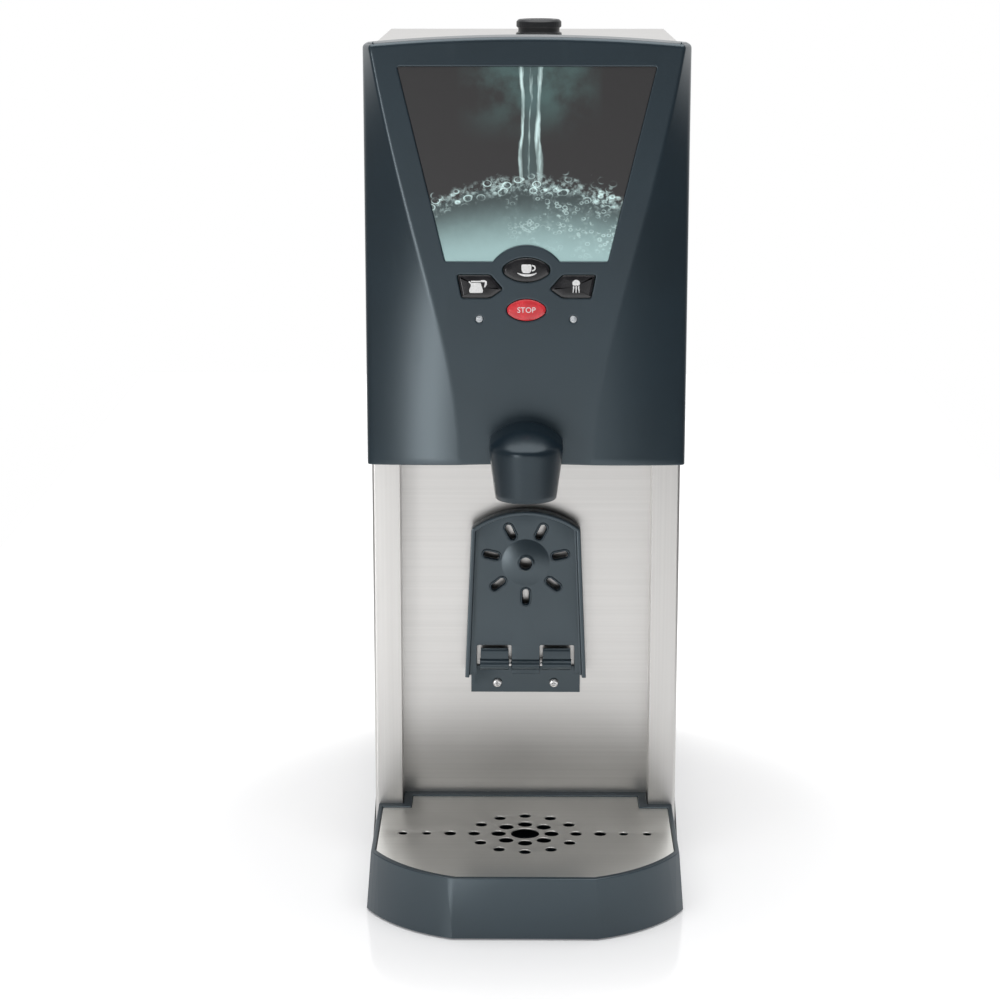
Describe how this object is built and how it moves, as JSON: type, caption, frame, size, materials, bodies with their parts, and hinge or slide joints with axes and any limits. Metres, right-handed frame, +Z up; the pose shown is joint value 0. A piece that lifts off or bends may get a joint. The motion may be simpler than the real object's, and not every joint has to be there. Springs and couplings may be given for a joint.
{
  "type": "countertop water dispenser",
  "caption": "Tall hot water dispenser: steel cabinet, plastic front with push keys and a lit picture, spout over a niche, fold-down cup stand and pull-out drip tray.",
  "frame": {"origin": "centre of the footprint's bounding box, on the counter", "axes": "+X to the user's right, +Y to the back, +Z up"},
  "size_m": [0.234, 0.509, 0.6282],
  "materials": {
    "brushed_steel_sheet": "satin brushed",
    "zinc_sheet": "plain zinc plated",
    "cover_plastic": "fine texture, blue grey",
    "black_plastic": "satin black",
    "foot_rubber": "matt",
    "screw_steel": "bright",
    "picture_film": "printed polycarbonate",
    "lamp_board": "white diffuser",
    "key_black": "gloss black",
    "key_red": "gloss red",
    "lamp_clear": "clear light pipe",
    "circuit_board": "green solder mask",
    "switch_body": "black moulding",
    "post_brass": "turned",
    "silicone": "translucent silicone",
    "foam": "closed cell foam",
    "tank_steel": "drawn stainless steel",
    "element_steel": "heat tinted",
    "cutout_plastic": "phenolic",
    "valve_brass": "machined",
    "coil_plastic": "moulded coil",
    "plunger_steel": "ground"
  },
  "bodies": {
    "housing": {"backlight_panel": "lamp_board", "base_pan": "zinc_sheet", "board_posts": "post_brass", "boiler_tank": "tank_steel", "cap_seal": "silicone", "case_screws": "screw_steel", "control_board": "circuit_board", "filler_neck": "tank_steel", "foot_front_left": "foot_rubber", "foot_front_right": "foot_rubber", "foot_rear_left": "foot_rubber", "foot_rear_right": "foot_rubber", "foot_screws": "screw_steel", "front_bulkhead": "zinc_sheet", "front_cover": "cover_plastic", "heating_element": "element_steel", "hinge_pin": "screw_steel", "inlet_coil": "coil_plastic", "inlet_hose": "silicone", "inlet_valve": "valve_brass", "insulation_jacket": "foam", "key_switches": "switch_body", "left_lamp": "lamp_clear", "left_side_panel": "brushed_steel_sheet", "left_skirt": "black_plastic", "mains_gland": "black_plastic", "mains_switch": "black_plastic", "outlet_coil": "coil_plastic", "outlet_tube": "silicone", "outlet_valve": "valve_brass", "overheat_cutout": "cutout_plastic", "picture_panel": "picture_film", "power_board": "circuit_board", "rear_panel": "brushed_steel_sheet", "right_lamp": "lamp_clear", "right_side_panel": "brushed_steel_sheet", "right_skirt": "black_plastic", "splash_panel": "brushed_steel_sheet", "spout_cover": "cover_plastic", "spout_nozzle": "silicone", "stand_bracket": "cover_plastic", "stand_screws": "screw_steel", "tank_gasket": "silicone", "tank_lid": "tank_steel", "tank_lid_screws": "screw_steel", "tank_probes": "element_steel", "tank_shelf": "zinc_sheet", "top_cover": "brushed_steel_sheet"},
    "cup_key": {"cup_key": "key_black"},
    "cup_stand": {"cup_stand": "cover_plastic"},
    "drip_plate": {"drip_plate": "brushed_steel_sheet", "drip_plate_tongue": "brushed_steel_sheet"},
    "drip_tray": {"drip_tray": "cover_plastic"},
    "filler_cap": {"filler_cap": "black_plastic"},
    "inlet_plunger": {"inlet_plunger": "plunger_steel"},
    "jug_key": {"jug_key": "key_black"},
    "mains_rocker": {"mains_rocker": "key_black"},
    "outlet_plunger": {"outlet_plunger": "plunger_steel"},
    "stop_key": {"stop_key": "key_red"},
    "tap_key": {"tap_key": "key_black"}
  },
  "joints": [
    {"name": "cup_key_press", "type": "slide", "parent": "housing", "child": "cup_key", "axis": [0, 1, 0], "range_m": [0, 0.0015], "stiffness_N_per_m": 700, "springref_m": -0.0005},
    {"name": "jug_key_press", "type": "slide", "parent": "housing", "child": "jug_key", "axis": [0, 1, 0], "range_m": [0, 0.0015], "stiffness_N_per_m": 700, "springref_m": -0.0005},
    {"name": "tap_key_press", "type": "slide", "parent": "housing", "child": "tap_key", "axis": [0, 1, 0], "range_m": [0, 0.0015], "stiffness_N_per_m": 700, "springref_m": -0.0005},
    {"name": "stop_key_press", "type": "slide", "parent": "housing", "child": "stop_key", "axis": [0, 1, 0], "range_m": [0, 0.0015], "stiffness_N_per_m": 700, "springref_m": -0.0005},
    {"name": "cup_stand_fold", "type": "hinge", "parent": "housing", "child": "cup_stand", "pos_m": [0, -0.0758, 0.1505], "axis": [1, 0, 0], "range_deg": [0, 90]},
    {"name": "drip_tray_pull", "type": "slide", "parent": "housing", "child": "drip_tray", "axis": [0, -1, 0], "range_m": [0, 0.13]},
    {"name": "drip_plate_lift", "type": "slide", "parent": "drip_tray", "child": "drip_plate", "axis": [0, 0, 1], "range_m": [0, 0.06]},
    {"name": "filler_cap_lift", "type": "slide", "parent": "housing", "child": "filler_cap", "axis": [0, 0, 1], "range_m": [0, 0.035]},
    {"name": "mains_rocker_tilt", "type": "hinge", "parent": "housing", "child": "mains_rocker", "pos_m": [0.062, 0.2305, 0.072], "axis": [1, 0, 0], "range_deg": [0, 14]},
    {"name": "outlet_plunger_rise", "type": "slide", "parent": "housing", "child": "outlet_plunger", "axis": [0, 0, 1], "range_m": [0, 0.003], "stiffness_N_per_m": 400, "springref_m": -0.001},
    {"name": "inlet_plunger_rise", "type": "slide", "parent": "housing", "child": "inlet_plunger", "axis": [0, 0, 1], "range_m": [0, 0.003], "stiffness_N_per_m": 400, "springref_m": -0.001}
  ]
}
